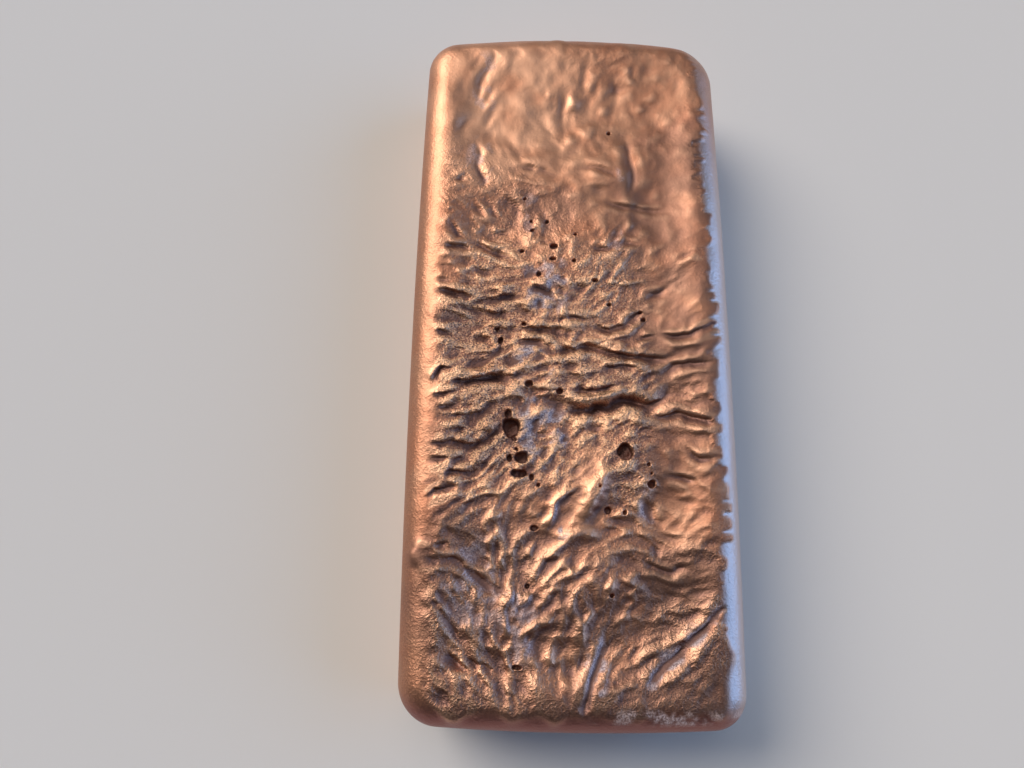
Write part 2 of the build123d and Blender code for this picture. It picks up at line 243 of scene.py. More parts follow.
# Gas holes: bubbles that broke through the skin. Centre, then size across and along.
GAS_HOLES = [
    (-9.2, -13.6, 2.4, 3), (-9.6, -11.5, 1, 1.4), (7.6, -16.9, 2.2, 2.4), (-7.6, -18, 1.8, 2),
    (-9.3, -18.2, 0.9, 1.2), (-7.9, -20.4, 2.4, 1.2), (-6, -21, 0.8, 1), (-5, -22.1, 0.6, 0.6),
    (-8.3, -16.8, 0.5, 0.6), (-8.6, -15.4, 0.6, 0.6), (11.6, -21.6, 1.3, 1.3), (5.1, -25.7, 1.1, 1),
    (7.6, -25.8, 0.7, 0.7), (3.8, -22, 0.5, 0.5), (11.2, -18.8, 0.6, 0.6), (11.6, -20.1, 0.5, 0.5),
    (-5.6, -28.3, 1.1, 0.8), (-6.5, -36.5, 0.6, 0.6), (5.3, -37.5, 0.8, 0.7), (-7.8, -47.3, 1.4, 0.6),
    (-11, 0.1, 0.8, 1.1), (-11.6, 2.1, 0.8, 0.7), (-7.4, 2.9, 0.8, 0.7), (-6.6, -6.8, 1.3, 1.1),
    (-1.9, -7.7, 1.2, 1.1), (-5.2, 11.1, 0.8, 0.8), (3.6, 10.3, 1.1, 0.7), (11.1, 3.9, 0.8, 0.7),
    (10.6, 5.2, 0.7, 0.6), (5.8, 6.4, 0.7, 0.6), (-7.9, 15.1, 0.8, 0.7), (-6.3, 18.8, 0.7, 0.7),
    (-3, 13.8, 1.1, 0.6), (-3.9, 20.5, 0.6, 0.6), (-6.5, 20.5, 0.6, 0.5), (0.6, 18.2, 0.6, 0.6),
    (0.4, 13.5, 0.6, 0.6), (6.3, 36.8, 0.7, 0.7), (-7.5, 24.4, 0.7, 0.6), (-2.8, 16, 1.2, 1),
]

# The pale ridge and the dark hollow of the near half: centre, then reach across and along
PALE_RIDGE = (2.6, -23, 3.4, 7.5)
DARK_HOLLOW = (15.5, -35.3, 6, 3.4)

# How far the tops of the folds lean over, as a share of their height
LEAN = 0.7
# How high the ridges stand, as a share of their listed height: in general and in the far third
RIDGE_LIFT = 1.75
FAR_RIDGE_LIFT = 1.10
# How much of the folds' small bends the troughs have
TROUGH_WOBBLE = 0.4

# The smooth rim: how far it reaches in on each side, how uneven it is and how far it is set back
RIGHT_BORDER = 2.8
LEFT_BORDER = 3.9
FAR_BORDER = 2.6
NEAR_BORDER = 2.5
RIM_UNEVENNESS = 0.05
RIM_WAVINESS = 0.08
RIM_SETBACK = 0.12
# The skin's own drop where it overlaps the rim, as a share of the rim's
SKIN_DROP = 0.35

# Copper, from the dark of the folds, partly oxide and partly painted shade, to the pale tops, partly
# rubbed and partly painted highlight
COPPER = (0.55, 0.29, 0.185)
COPPER_WARM = (0.55, 0.25, 0.15)
COPPER_PALE = (0.90, 0.51, 0.33)
COPPER_BRIGHT = (0.95, 0.59, 0.37)
COPPER_DARK = (0.22, 0.12, 0.10)
# Darker, redder copper: partly tarnishing and partly painted shade
COPPER_TARNISH_AND_SHADE = (0.37, 0.165, 0.12)
COPPER_DULL = (0.33, 0.19, 0.135)
# A blue-grey tint: partly an oxide and partly painted reflection of the sky
FILM_AND_SKY_REFLECTION = (0.66, 0.58, 0.62)
FILM_AND_SKY_REFLECTION_DARK = (0.26, 0.21, 0.24)
# Painted reflection of the blue sky on the rim where it turns to the right
RIM_SKY_REFLECTION = (0.62, 0.57, 0.58)
# Painted shade on the rim where it turns to the near end
RIM_PAINTED_SHADE = (0.30, 0.12, 0.11)
ASH = (0.90, 0.74, 0.72)
CRINKLE_SIZE = 0.9
CRINKLE_DEPTH = 0.03
SAND_SIZE = 0.38
SAND_DEPTH = 0.09
GRAIN_SIZE = 0.18
GRAIN_DEPTH = 0.07

# Studio
FLOOR_COLOUR = (0.80, 0.79, 0.77)
FLOOR_SPAN = 40.0
FAR_HORIZON_COLOUR = (0.42, 0.41, 0.41)
NEAR_HORIZON_COLOUR = (0.16, 0.16, 0.18)
ZENITH_COLOUR = (0.05, 0.05, 0.055)
# Name, azimuth from +X, elevation, spread, strength and colour
LAMPS = [
    ("key", 141, 39, 40, 2.1, (1.0, 0.90, 0.80)),
    ("sky", 4, 26, 54, 1.1, (0.32, 0.56, 1.0)),
    ("overhead", 110, 66, 40, 0.36, (1.0, 0.96, 0.93)),
]

# Camera: place from the middle of the underside, then its turn, dip and roll in radians
CAMERA_PLACE = (-9.602, -37.529, 129.27)
CAMERA_YAW = 0.0155
CAMERA_DIP = 1.3046
CAMERA_ROLL = 0.0328
FOCAL_PIXELS = 769.0
SENSOR_WIDTH = 36.0

# Areas with a blue-grey tint, partly an oxide and partly painted reflection of the sky: centre, reach
# across and along, and how much of it
FILM_AND_SKY_REFLECTION_AREAS = [
    (-4.5, -14.5, 4, 6.5, 1.5), (-6, -3.5, 3.5, 3.5, 1), (-4, 9.5, 4, 6, 0.9),
    (-1.5, -27, 1.6, 4.5, 1.2), (11, -26, 1.8, 4, 0.7), (-14, -36, 5, 7, 0.6),
    (-8, -42, 3.5, 6, 0.6), (3.2, -47.5, 1.8, 5.5, 0.9), (20.5, -39.5, 2.2, 2, 0.8),
    (17, -42.7, 1.9, 1.9, 0.9), (13.5, -46, 1.9, 1.9, 0.9), (10.8, -48.6, 1.9, 1.9, 0.7),
    (-15, 31, 2.5, 5, 0.5), (9, 31, 2, 5, 0.45), (-14.5, 45, 2.5, 7, 0.4),
    (7, 17.5, 1.5, 3, 0.5), (-6.5, 22, 2.5, 4, 0.4), (14, -12.3, 1, 1, 0.9),
]

# Darker, redder areas in the same form, partly tarnishing and partly painted shade where the light falls
# off towards the near end and the right, and paler ones with a share below 0, which are painted light
TARNISH_AND_PAINTED_LIGHT_AREAS = [
    (-15, 42, 14, 18, -0.9), (-1, 40, 12, 14, -0.4), (2, -23, 4, 7, -0.3),
    (-6, 23, 9, 5, 0.6), (-15, 3, 7, 7, 0.45), (-16, -14, 7, 6, 0.45),
    (-15, -36, 10, 12, 1), (15.5, -35.3, 7.5, 4.5, 2.2), (6, -45, 16, 9, 0.45),
    (17, -45, 8, 8, 0.5), (16, -5, 12, 20, 0.8), (17, 24, 11, 17, 0.8),
    (0, -53, 26, 4.5, 0.7), (20, -49, 6, 6, 0.9), (0, -42, 30, 16, 0.4),
]

rng = np.random.default_rng(29)


# Outline of the bar

def corner_fillet(arc_a, arc_b, radius, near_point):
    """Centre of the corner arc that touches the insides of two big arcs near a point."""
    (ax, ay, a_radius), (bx, by, b_radius) = arc_a, arc_b
    gap = math.hypot(bx - ax, by - ay)
    ra = a_radius - radius
    rb = b_radius - radius
    along = (ra * ra - rb * rb + gap * gap) / (2 * gap)
    off = math.sqrt(ra * ra - along * along)
    ux, uy = (bx - ax) / gap, (by - ay) / gap
    choices = [(ax + along * ux - s * off * uy, ay + along * uy + s * off * ux) for s in (-1, 1)]
    return min(choices, key=lambda c: math.hypot(c[0] - near_point[0], c[1] - near_point[1]))


def outline_arcs():
    """The widest outline, anticlockwise from the near left corner: (centre, radius, angles)."""
    half_width = WIDTH / 2
    half_length = LENGTH / 2
    corner_x = half_width - SIDE_BOW
    far_y = half_length - FAR_END_BOW
    near_y = NEAR_END_BOW - half_length
    near_radius = (corner_x ** 2 + NEAR_END_BOW ** 2) / (2 * NEAR_END_BOW)
    far_radius = (corner_x ** 2 + FAR_END_BOW ** 2) / (2 * FAR_END_BOW)
    # The ends of the sides aren't equally far from y = 0, and the sides bow most half way between
    mid_y = (far_y + near_y) / 2
    half_side = (far_y - near_y) / 2
    side_radius = (half_side ** 2 + SIDE_BOW ** 2) / (2 * SIDE_BOW)
    near = (0, near_radius - half_length, near_radius)
    far = (0, half_length - far_radius, far_radius)
    right = (half_width - side_radius, mid_y, side_radius)
    left = (side_radius - half_width, mid_y, side_radius)
    corners = [
        (left, near, NEAR_LEFT_RADIUS, (-corner_x, near_y)),
        (near, right, NEAR_RIGHT_RADIUS, (corner_x, near_y)),
        (right, far, FAR_RIGHT_RADIUS, (corner_x, far_y)),
        (far, left, FAR_LEFT_RADIUS, (-corner_x, far_y)),
    ]
    fillets = []
    for before, after, radius, point in corners:
        cx, cy = corner_fillet(before, after, radius, point)
        start = math.atan2(cy - before[1], cx - before[0])
        end = math.atan2(cy - after[1], cx - after[0])
        fillets.append((cx, cy, radius, start, start + (end - start) % (2 * math.pi)))
    arcs = []
    for i, big in enumerate((near, right, far, left)):
        start = fillets[i][4]
        end = fillets[(i + 1) % 4][3]
        arcs.append(fillets[i])
        arcs.append((*big, start, start + (end - start) % (2 * math.pi)))
    return arcs


def outline_loop():
    """Points and outward normals round the outline, from the middle of the near left corner.

    The four parts between the middles of the corners have as many points as the grid's sides.
    """
    arcs = outline_arcs()
    counts = [CELLS_ACROSS, CELLS_ALONG, CELLS_ACROSS, CELLS_ALONG]
    points, normals = [], []
    for part, count in enumerate(counts):
        first = arcs[2 * part]
        middle = arcs[2 * part + 1]
        last = arcs[(2 * part + 2) % 8]
        half_first = (*first[:3], (first[3] + first[4]) / 2, first[4])
        half_last = (*last[:4], (last[3] + last[4]) / 2)
        runs = [half_first, middle, half_last]
        # Corners are measured part way in, so that points don't crowd on the inner loops
        lengths = [abs(end - start) * (radius - GRID_INSET / 2) for _, _, radius, start, end in runs]
        place = np.arange(count) / count * sum(lengths)
        reached = 0.0
        for (cx, cy, radius, start, end), length in zip(runs, lengths):
            here = (place >= reached - 1e-9) & (place < reached + length - 1e-9)
            angle = start + (place[here] - reached) / length * (end - start)
            normals.append(np.stack([np.cos(angle), np.sin(angle)], 1))
            points.append(np.array([cx, cy]) + radius * normals[-1])
            reached += length
    return np.concatenate(points), np.concatenate(normals)


# Noise on a raster

def axis_places(half_span):
    """Evenly spaced places of the raster along one axis."""
    reach = half_span + RASTER_MARGIN
    return np.arange(-reach, reach + PITCH / 2, PITCH)


AXIS_X = axis_places(WIDTH / 2)
AXIS_Y = axis_places(LENGTH / 2)
X, Y = np.meshgrid(AXIS_X, AXIS_Y)


def smooth(values, size, size_along=None):
    """Gaussian blur of a raster; the sizes are its standard deviations across and along."""
    size_along = size if size_along is None else size_along
    rows, columns = values.shape
    pad_y = int(math.ceil(3 * size_along / PITCH))
    pad_x = int(math.ceil(3 * size / PITCH))
    padded = np.pad(values, ((pad_y, pad_y), (pad_x, pad_x)), mode="reflect")
    wave_y = np.fft.fftfreq(padded.shape[0], PITCH)[:, None]
    wave_x = np.fft.rfftfreq(padded.shape[1], PITCH)[None, :]
    keep = np.exp(-2 * math.pi ** 2 * ((wave_x * size) ** 2 + (wave_y * size_along) ** 2))
    result = np.fft.irfft2(np.fft.rfft2(padded) * keep, padded.shape)
    return result[pad_y:pad_y + rows, pad_x:pad_x + columns]


def unit(values):
    """The raster with mean 0 and standard deviation 1."""
    return (values - values.mean()) / values.std()


def noise(size, size_along=None):
    """Seeded smooth noise with features of about the given size."""
    return unit(smooth(rng.standard_normal(X.shape), size, size_along))


def ramp(values, low, high):
    """0 below low, 1 above high and a smooth step between."""
    t = np.clip((values - low) / (high - low), 0, 1)
    return t * t * (3 - 2 * t)


def sample(raster, x, y):
    """The raster's values at places on the face, by bilinear interpolation."""
    column = np.clip((x - AXIS_X[0]) / PITCH, 0, len(AXIS_X) - 1.001)
    row = np.clip((y - AXIS_Y[0]) / PITCH, 0, len(AXIS_Y) - 1.001)
    c = column.astype(int)
    r = row.astype(int)
    fc = column - c
    fr = row - r
    lower = raster[r, c] * (1 - fc) + raster[r, c + 1] * fc
    upper = raster[r + 1, c] * (1 - fc) + raster[r + 1, c + 1] * fc
    return lower * (1 - fr) + upper * fr


def fold_directions():
    """Cosine and sine of twice the folds' angle over the raster, blended from FOLD_RUNS.

    A fold has no front or back, so its angle is doubled to let it turn smoothly.
    """
    twice_cos = np.zeros_like(X)
    twice_sin = np.zeros_like(X)
    for x, y, degrees in FOLD_RUNS:
        weight = np.exp(-((X - x) ** 2 + (Y - y) ** 2) / (2 * (RUN_REACH / 2) ** 2)) + 1e-9
        twice_cos += weight * math.cos(2 * math.radians(degrees))
        twice_sin += weight * math.sin(2 * math.radians(degrees))
    angle = np.arctan2(twice_sin, twice_cos) + 0.4 * noise(2.4)
    return np.cos(angle), np.sin(angle)


def drawn_along(values, direction, reach, step=0.3):
    """The raster averaged along the folds, up to reach to each side: streaks that follow them."""
    twice_cos, twice_sin = direction
    total = values.copy()
    weights = 1.0
    half_angle = np.arctan2(twice_sin, twice_cos) / 2
    for side in (-1, 1):
        x, y = X.copy(), Y.copy()
        last_x, last_y = side * np.cos(half_angle), side * np.sin(half_angle)
        for i in range(1, int(reach / step) + 1):
            angle = np.arctan2(sample(twice_sin, x, y), sample(twice_cos, x, y)) / 2
            dx, dy = np.cos(angle), np.sin(angle)
            turn = np.where(dx * last_x + dy * last_y < 0, -1.0, 1.0)
            last_x, last_y = dx * turn, dy * turn
            x += step * last_x
            y += step * last_y
            weight = math.cos(math.pi / 2 * i * step / (reach + step)) ** 2
            total += weight * sample(values, x, y)
            weights += weight
    return total / weights


# Relief of the pour face

def rise(place, half_size):
    """How far the face has climbed, from 0 in the dish to 1 where it meets the rim."""
    to_rim = half_size - RIM_BAND - np.abs(place)
    return np.maximum(0, 1 - to_rim / RISE_BAND) ** 2


def skin_height(x, y):
    """Height of the pour face before its folds: a dish that climbs to the rim, with swells."""
    climb = np.minimum(rise(x, WIDTH / 2) + rise(y, LENGTH / 2), 1)
    from_far_end = 1 / 2 - y / LENGTH
    swell_place = y - SWELL_FAN * from_far_end * x
    swell = SWELL_HEIGHT * np.sin(2 * math.pi * swell_place / SWELL_PITCH)
    cross_place = x - CROSS_SWELL_SLANT * y
    cross = CROSS_SWELL_HEIGHT * np.sin(2 * math.pi * cross_place / CROSS_SWELL_PITCH)
    return HEIGHT - (SKIN_DEPTH + swell + cross) * (1 - climb)


def path_profile(points, reach, wobble):
    """Distance from a path over the part of the raster near it.

    Gives the raster's window, the signed distance (positive on the path's far side), and how
    far along the path the nearest point is, with its length.
    """
    points = np.array(points, float)
    low = points.min(0) - reach
    high = points.max(0) + reach
    rows = slice(*np.searchsorted(AXIS_Y, (low[1], high[1])))
    columns = slice(*np.searchsorted(AXIS_X, (low[0], high[0])))
    x = X[rows, columns] + wobble[0][rows, columns]
    y = Y[rows, columns] + wobble[1][rows, columns]
    if points[-1][0] - points[0][0] < 0:
        points = points[::-1]
    best = np.full(x.shape, 1e9)
    signed = np.zeros(x.shape)
    along = np.zeros(x.shape)
    reached = 0.0
    for start, end in zip(points, points[1:]):
        run = end - start
        length = math.hypot(*run)
        ux, uy = run / length
        t = np.clip((x - start[0]) * ux + (y - start[1]) * uy, 0, length)
        gap_x = x - start[0] - t * ux
        gap_y = y - start[1] - t * uy
        gap = np.hypot(gap_x, gap_y)
        nearer = gap < best
        side = np.where(gap_y * ux - gap_x * uy >= 0, 1.0, -1.0)
        best = np.where(nearer, gap, best)
        signed = np.where(nearer, side * gap, signed)
        along = np.where(nearer, reached + t, along)
        reached += length
    return (rows, columns), signed, along, reached


def end_fade(along, length, width):
    """1 over the middle of a path and 0 at its two ends."""
    fade = min(2.4 * width, 0.48 * length)
    return ramp(along, -0.3 * fade, fade) * ramp(length - along, -0.3 * fade, fade)


def near_paths(forms, wobble):
    """Each form's width and depth, then the window, distance and end fade of the raster near it."""
    for width, depth, *points in forms:
        window, s, along, length = path_profile(points, 4 * width, wobble)
        yield width, depth, window, s, end_fade(along, length, width)


def add_folds(height, wobble):
    """Presses the folds into the raster: a steep far wall under a lip, and a gentle near side."""
    for width, depth, window, s, fade in near_paths(FOLDS, wobble):
        slim = width * (0.35 + 0.65 * fade)
        wall = np.where(s > 0, 0.22 * slim, 0.5 * slim)
        groove = np.exp(-(np.abs(s) / wall) ** 1.5)
        lip = np.exp(-((s - 0.8 * width) / (0.5 * width)) ** 2)
        swell = np.exp(-((s + 1.25 * width) / (0.6 * width)) ** 2)
        height[window] += depth * fade * (0.50 * lip + 0.40 * swell - 1.15 * groove)


def add_troughs(height, wobble):
    """Presses the troughs into the raster, with a low bank on each side."""
    small_wobble = [TROUGH_WOBBLE * bends for bends in wobble]
    for width, depth, window, s, fade in near_paths(TROUGHS, small_wobble):
        groove = np.exp(-(np.abs(s) / (0.45 * width)) ** 1.5)
        banks = np.exp(-((np.abs(s) - 1.2 * width) / (0.6 * width)) ** 2)
        height[window] += depth * fade * (0.25 * banks - groove)


def add_ridges(height, wobble):
    """Raises the ridges on the raster, a little steeper on their near side."""
    for width, tall, window, s, fade in near_paths(RIDGES, wobble):
        side = np.where(s > 0, 0.66 * width, 0.40 * width)
        # They stand up less in the soft far third
        lift = RIDGE_LIFT + (FAR_RIDGE_LIFT - RIDGE_LIFT) * ramp(Y[window], 8, 20)
        height[window] += lift * tall * fade * np.exp(-(s / side) ** 2)


def add_gas_holes(z, x, y, ragged):
    """Sinks the gas holes: steep ragged walls, an uneven floor and a thin raised lip.

    Gives how deep in a hole each place is, from 0 to 1.
    """
    inside = np.zeros_like(z)
    for hole_x, hole_y, across, along in GAS_HOLES:
        reach = 1.3 * max(across, along)
        near = np.flatnonzero((np.abs(x - hole_x) < reach) & (np.abs(y - hole_y) < reach))
        out = 2 * np.hypot((x[near] - hole_x) / across, (y[near] - hole_y) / along)
        out *= 1 + 0.08 * ragged[near]
        size = math.sqrt(across * along)
        wall = 0.30 / size
        hole = 1 - ramp(out, 1 - wall, 1 + 0.3 * wall)
        lip = np.exp(-((out - 1.2) / 0.25) ** 2)
        z[near] += 0.02 * size * lip - (0.30 + 0.50 * size) * hole
        inside[near] = np.maximum(inside[near], hole)
    return inside


def zone(x, y, reach_x, reach_y):
    """1 in the middle of an oval area of the face and 0 outside it."""
    return 1 - ramp(np.hypot((X - x) / reach_x, (Y - y) / reach_y), 0.6, 1.2)


def areas(table):
    """Each listed area as a raster, times its share."""
    return [share * zone(*area) for *area, share in table]


def streaks(size, reach, direction):
    """Noise with features of about the given size, drawn out along the folds."""
    return unit(drawn_along(noise(size), direction, reach))


def wrinkles(direction):
    """Dense small folds of the skin between the big ones: broad hills, thin crests and fine ones."""
    broad = streaks(0.95, 3.0, direction)
    other = streaks(0.7, 2.4, direction)
    middle = streaks(0.50, 2.8, direction)
    fine = streaks(0.32, 1.4, direction)
    # Some hills meet in sharp valleys and others have sharp tops, and crests run along thin lines
    hills = 0.65 * np.abs(broad + 0.25) ** 0.75 - 0.6 * np.abs(other) ** 0.8
    crests = (np.exp(-(middle / 0.6) ** 2) - 0.4) * np.clip(0.95 + 0.45 * noise(1.2), 0.15, 1.8)
    fine_crests = np.exp(-(fine / 0.7) ** 2) - 0.45
    return hills, crests, fine_crests


def zones():
    """Where the skin is crinkled, frothy, in the soft far third and sandy, from 0 to 1 or so."""
    far_third = ramp(Y + 0.6 * X, 15, 29)
    right_bank = ramp(X, 9, 14) * (1 - far_third) * ramp(Y, -36, -28)
    left_rim = 1 - ramp(X, -22.5, -19.5)
    crinkled = (1 - 0.6 * right_bank) * (1 - 0.8 * far_third) * (1 - 0.9 * left_rim)
    crinkled *= np.clip(0.8 + 0.3 * noise(4.0), 0.2, 1.3)
    # The pale ridge and the dark hollow are smoother than what is round them
    calm = np.maximum(zone(*PALE_RIDGE), zone(*DARK_HOLLOW))
    crinkled *= 1 - 0.6 * calm
    dross = zone(-5.5, 0, 6.5, 28)
    sandy = crinkled * (0.6 + 1.3 * zone(-6, -8, 25, 27))
    return crinkled, dross, far_third, sandy


def strength():
    """How bold the relief is: most in the middle, less near both ends and on the right."""
    towards_far = ramp(Y + 0.2 * X, 3, 17)
    towards_near = ramp(-Y, 22, 34)
    towards_right = ramp(X, 8, 15)
    far_left = zone(-15, 44, 11, 17)
    ends = (1 - 0.45 * towards_far) * (1 - 0.22 * towards_near)
    return ends * (1 - 0.25 * towards_right) * (1 - 0.35 * far_left)


def relief(direction, crinkled, dross, far_third):
    """Height of the pour face over its dish, in mm."""
    wobble = [0.20 * noise(1.1) + 0.07 * noise(0.35) for _ in range(2)]
    hills, crests, fine_crests = wrinkles(direction)
    lumps = 0.13 * noise(1.2) + 0.09 * noise(0.6) + 0.03 * crests
    height = (0.14 + 0.20 * crinkled) * (1 - 0.75 * far_third) * hills
    height += 0.07 * crinkled * noise(0.5) + far_third * lumps
    height += 0.10 * (1 - far_third) * streaks(1.7, 3.0, direction)
    height += (0.05 + 0.22 * crinkled) * crests
    height += (0.02 + 0.10 * crinkled) * fine_crests
    height += dross * (0.06 * noise(0.4) + 0.08 * noise(0.8) - 0.22 * ramp(noise(0.35), 1.5, 2.2))
    # Few wrinkles cross the broad pale ridge
    height *= 1 - 0.3 * zone(*PALE_RIDGE)
    add_ridges(height, wobble)
    add_troughs(height, wobble)
    add_folds(height, wobble)
    # The far third set more slowly: its forms are lower and softer
    softened = height + far_third * (0.85 * smooth(height, 0.2) - height)
    return strength() * softened


def edge_distance():
    """How far each place of the raster is from the widest outline, and the way outwards there."""
    distance = np.full(X.shape, 1e9)
    for cx, cy, radius, start, end in outline_arcs():
        angle = np.arctan2(Y - cy, X - cx)
        turn = (angle - start) % (2 * math.pi)
        covers = turn <= end - start
        gap = radius - np.hypot(X - cx, Y - cy)
        distance = np.where(covers & (gap < distance), gap, distance)
    # Where no arc covers a place it is beyond the middle of the bar, far from every edge
    distance = np.minimum(distance, WIDTH / 2)
    slope_y, slope_x = np.gradient(smooth(distance, 0.6), PITCH)
    steepness = np.hypot(slope_x, slope_y) + 1e-6
    return distance, -slope_x / steepness, -slope_y / steepness


def tarnish_and_painted_light():
    """How dark and red the copper is, partly from tarnishing and partly as painted shade, and how pale
    it is as painted light where the value is below 0.
    """
    return np.clip(sum(areas(TARNISH_AND_PAINTED_LIGHT_AREAS)) * (0.75 + 0.3 * noise(1.2)), -1, 1)


def film_and_sky_reflection(height):
    """Where a thin blue-grey tint lies, partly an oxide and partly painted reflection of the sky: low
    places and right-facing slopes in a few areas.
    """
    slope = np.gradient(smooth(height, 0.25), PITCH, axis=1)
    places = np.maximum.reduce(areas(FILM_AND_SKY_REFLECTION_AREAS))
    patchy = ramp(noise(0.7) + 0.5 * noise(0.3), -0.4, 1.0)
    above = height - smooth(height, 0.9)
    low = ramp(-above, 0.10, 0.32) * (0.1 + places)
    patchy *= 1 - 0.7 * ramp(above, 0.02, 0.18)
    # Slopes that face right take the tint as painted reflection of the blue sky lamp
    return np.clip(places * patchy + 0.9 * ramp(-slope, 0.25, 0.8) * (0.35 + places) + low, 0, 1)


def skin_border():
    """1 where the raster is skin and 0 where it is rim, with a ragged edge between."""
    distance, out_x, out_y = edge_distance()
    outwards = (out_x, -out_x, out_y, -out_y)
    right, left, far, near = [np.maximum(share, 0) ** 2 for share in outwards]
    # On the right the rim cuts into the skin in pointed wedges
    wedges = np.maximum(0, 1 - 1.3 * np.abs(noise(LONG, 0.55)))
    border = RIGHT_BORDER * right + LEFT_BORDER * left + FAR_BORDER * far + NEAR_BORDER * near
    ragged = 1.7 * wedges + np.clip(0.35 * noise(LONG, 0.6) + 0.45 * noise(LONG, 2.6), -0.9, 1.1)
    near_corner = ramp(-Y, 43, 50)
    border += right * (ragged + near_corner * (0.8 - ragged))
    # One fold on the left runs out over the rim
    border -= 2.4 * zone(-24, -31.5, 4, 2.6)
    # Towards the far left corner the skin runs out over the rim without an edge
    far_left = ramp(Y, 12, 28)
    border += left * (1 - 0.75 * far_left) * (0.5 * noise(LONG, 1.2) + 0.4 * noise(LONG, 0.5))
    border += (far + near) * 0.5 * noise(1.0, LONG)
    # How gradually the skin turns into the rim on each side
    soft = (0.16 + 0.8 * near_corner) * right + (0.9 + 1.6 * far_left) * left
    soft += 1.6 * far + 0.8 * near
    return ramp((distance - border) / soft, -1, 1)


# Mesh of the bar

def in_scene(name, data):
    """A new object in the scene."""
    thing = bpy.data.objects.new(name, data)
    bpy.context.scene.collection.objects.link(thing)
    return thing


def steps(start, end, count):
    """The ends of count equal steps from start to end."""
    return np.linspace(start, end, count + 1)[1:]


def profile():
    """Cross-section of the edge from the grid's edge outwards, then down to the underside.

    Each ring has its inset from the widest outline, its height, and how far its normal points
    outwards and upwards.
    """
    rings = []
    for inset in steps(GRID_INSET, RIM_RADIUS, FLAT_RINGS):
        rings.append((inset, HEIGHT, 0.0, 1.0))
    inner_turns = steps(0, INNER_RIM_TURN, INNER_RIM_RINGS)
    outer_turns = steps(INNER_RIM_TURN, math.pi / 2 + DRAFT, OUTER_RIM_RINGS)
    for turn in np.append(inner_turns, outer_turns):
        out, up = math.sin(turn), math.cos(turn)
        rings.append((RIM_RADIUS * (1 - out), HEIGHT - RIM_RADIUS * (1 - up), out, up))
    wall_inset, wall_top = rings[-1][:2]
    wall_foot = BASE_EDGE_RADIUS * (1 - math.sin(DRAFT))
    for z in steps(wall_top, wall_foot, WALL_RINGS):
        inset = wall_inset + (wall_top - z) * math.tan(DRAFT)
        rings.append((inset, z, math.cos(DRAFT), -math.sin(DRAFT)))
    middle_inset = rings[-1][0] + BASE_EDGE_RADIUS * math.cos(DRAFT)
    for turn in steps(DRAFT, math.pi / 2, FOOT_RINGS):
        out, down = math.cos(turn), math.sin(turn)
        inset = middle_inset - BASE_EDGE_RADIUS * out
        rings.append((inset, BASE_EDGE_RADIUS * (1 - down), out, -down))
    return rings


def top_grid(loop):
    """Quad grid of points that fills a closed loop, from its four sides (a Coons patch)."""
    right_end = CELLS_ACROSS + CELLS_ALONG
    far_end = right_end + CELLS_ACROSS
    near = loop[:CELLS_ACROSS + 1]
    right = loop[CELLS_ACROSS:right_end + 1]
    far = loop[right_end:far_end + 1][::-1]
    left = np.concatenate([loop[far_end:], loop[:1]])[::-1]
    u = np.linspace(0, 1, CELLS_ACROSS + 1)[None, :, None]
    v = np.linspace(0, 1, CELLS_ALONG + 1)[:, None, None]
    ruled_along = (1 - v) * near[None] + v * far[None]
    ruled_across = (1 - u) * left[:, None] + u * right[:, None]
    corners = (1 - v) * ((1 - u) * near[0] + u * near[-1]) + v * ((1 - u) * far[0] + u * far[-1])
    return ruled_along + ruled_across - corners


def grid_edge_indices():
    """Indices of the grid's points round its edge, in the loop's order."""
    row = CELLS_ACROSS + 1
    near = np.arange(CELLS_ACROSS)
    right = row * np.arange(CELLS_ALONG) + CELLS_ACROSS
    far = row * CELLS_ALONG + np.arange(CELLS_ACROSS, 0, -1)
    left = row * np.arange(CELLS_ALONG, 0, -1)
    return np.concatenate([near, right, far, left])


def quads_between(inner, outer):
    """Quads that join two rings of as many points, wound to face outwards."""
    return np.stack([inner, outer, np.roll(outer, -1), np.roll(inner, -1)], 1)


def bar_points(rings, edge_points, edge_normals):
    """Every vertex of the bar before its relief, with the outward normal there."""
    grid = top_grid(edge_points - GRID_INSET * edge_normals).reshape(-1, 2)
    parts = [np.column_stack([grid, np.full(len(grid), HEIGHT)])]
    normals = [np.tile([0.0, 0.0, 1.0], (len(grid), 1))]
    for inset, z, out, up in rings:
        flat = edge_points - inset * edge_normals
        parts.append(np.column_stack([flat, np.full(len(flat), z)]))
        normals.append(np.column_stack([out * edge_normals, np.full(len(flat), up)]))
    return np.concatenate(parts), np.concatenate(normals)


def bar_faces(ring_count, edge_count):
    """The bar's faces: the grid's quads, the rings' quads and the flat underside."""
    row = CELLS_ACROSS + 1
    first = (np.arange(CELLS_ALONG)[:, None] * row + np.arange(CELLS_ACROSS)[None, :]).ravel()
    quads = [np.stack([first, first + 1, first + row + 1, first + row], 1)]
    inner = grid_edge_indices()
    grid_count = row * (CELLS_ALONG + 1)
    for k in range(ring_count):
        outer = grid_count + k * edge_count + np.arange(edge_count)
        quads.append(quads_between(inner, outer))
        inner = outer
    return np.concatenate(quads), inner[::-1]


